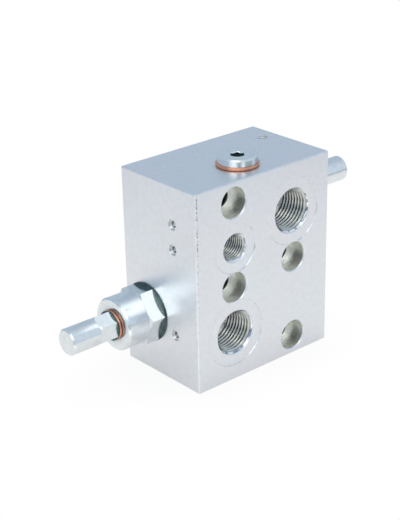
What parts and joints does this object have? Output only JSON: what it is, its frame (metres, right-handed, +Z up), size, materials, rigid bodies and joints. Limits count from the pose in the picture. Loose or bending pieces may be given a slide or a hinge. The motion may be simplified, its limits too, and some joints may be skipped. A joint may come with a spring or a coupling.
{
  "type": "hydraulic counterbalance valve block",
  "caption": "Dual counterbalance valve in a rectangular steel block with opposed adjustable cartridges, threaded hose ports and a brake shuttle, bolted to a hydraulic motor.",
  "frame": {"origin": "centre of the mounting face that bolts to the motor", "axes": "+Y is the outward normal of the mounting face, so the hose ports face -Y; +Z is up towards the shuttle plug; the cartridges lie along X"},
  "size_m": [0.17, 0.05, 0.0996],
  "materials": {
    "block_zinc": "bright zinc plate over ground steel",
    "fitting_zinc": "bright zinc plate over turned steel",
    "copper": "soft annealed copper",
    "hardened_steel": "hardened and ground",
    "spring_steel": "drawn spring wire",
    "ball_steel": "polished ball",
    "expander_steel": "phosphated steel",
    "seal_rubber": "nitrile rubber",
    "seal_nylon": "natural nylon"
  },
  "bodies": {
    "block": {"valve_block": "block_zinc", "left_bonnet": "fitting_zinc", "left_cap_washer": "copper", "left_sleeve": "hardened_steel", "left_main_spring": "spring_steel", "left_check_spring": "spring_steel", "left_bonnet_o_ring": "seal_rubber", "left_sleeve_o_rings": "seal_rubber", "left_backup_ring": "seal_nylon", "right_bonnet": "fitting_zinc", "right_cap_washer": "copper", "right_sleeve": "hardened_steel", "right_main_spring": "spring_steel", "right_check_spring": "spring_steel", "right_bonnet_o_ring": "seal_rubber", "right_sleeve_o_rings": "seal_rubber", "right_backup_ring": "seal_nylon", "shuttle_plug": "fitting_zinc", "shuttle_plug_washer": "copper", "shuttle_seat": "hardened_steel", "expander_sleeves": "expander_steel", "expander_balls": "ball_steel", "motor_port_o_rings": "seal_rubber"},
    "left_cap": {"left_cap_nut": "fitting_zinc"},
    "left_seat": {"left_spring_seat": "hardened_steel"},
    "left_screw": {"left_adjusting_screw": "hardened_steel"},
    "left_poppet": {"left_poppet": "hardened_steel", "left_spring_guide": "hardened_steel"},
    "left_check": {"left_check_seat": "hardened_steel"},
    "right_cap": {"right_cap_nut": "fitting_zinc"},
    "right_seat": {"right_spring_seat": "hardened_steel"},
    "right_screw": {"right_adjusting_screw": "hardened_steel"},
    "right_poppet": {"right_poppet": "hardened_steel", "right_spring_guide": "hardened_steel"},
    "right_check": {"right_check_seat": "hardened_steel"},
    "shuttle_ball": {"shuttle_ball": "ball_steel"}
  },
  "joints": [
    {"name": "left_cap_off", "type": "slide", "parent": "block", "child": "left_cap", "axis": [-1, 0, 0], "range_m": [0, 0.03]},
    {"name": "left_preload", "type": "slide", "parent": "block", "child": "left_seat", "axis": [1, 0, 0], "range_m": [-0.0015, 0.0025], "deforming": ["left_main_spring"]},
    {"name": "left_screw_turn", "type": "hinge", "parent": "left_seat", "child": "left_screw", "pos_m": [-0.052, -0.0147, -0.0187], "axis": [1, 0, 0], "range_deg": [-432, 720]},
    {"name": "left_poppet_lift", "type": "slide", "parent": "block", "child": "left_poppet", "axis": [-1, 0, 0], "range_m": [0, 0.003], "deforming": ["left_main_spring"]},
    {"name": "left_check_lift", "type": "slide", "parent": "block", "child": "left_check", "axis": [1, 0, 0], "range_m": [0, 0.0025], "deforming": ["left_check_spring"]},
    {"name": "right_cap_off", "type": "slide", "parent": "block", "child": "right_cap", "axis": [1, 0, 0], "range_m": [0, 0.03]},
    {"name": "right_preload", "type": "slide", "parent": "block", "child": "right_seat", "axis": [-1, 0, 0], "range_m": [-0.0015, 0.0025], "deforming": ["right_main_spring"]},
    {"name": "right_screw_turn", "type": "hinge", "parent": "right_seat", "child": "right_screw", "pos_m": [0.052, -0.0147, 0.0187], "axis": [-1, 0, 0], "range_deg": [-432, 720]},
    {"name": "right_poppet_lift", "type": "slide", "parent": "block", "child": "right_poppet", "axis": [1, 0, 0], "range_m": [0, 0.003], "deforming": ["right_main_spring"]},
    {"name": "right_check_lift", "type": "slide", "parent": "block", "child": "right_check", "axis": [-1, 0, 0], "range_m": [0, 0.0025], "deforming": ["right_check_spring"]},
    {"name": "shuttle_shift", "type": "slide", "parent": "block", "child": "shuttle_ball", "axis": [0, 0, 1], "range_m": [-0.0014, 0.0014]}
  ],
  "couplings": [
    {"joint": "left_screw_turn", "follows": "left_preload", "rad_per_m": 5026.5},
    {"joint": "right_screw_turn", "follows": "right_preload", "rad_per_m": 5026.5}
  ]
}
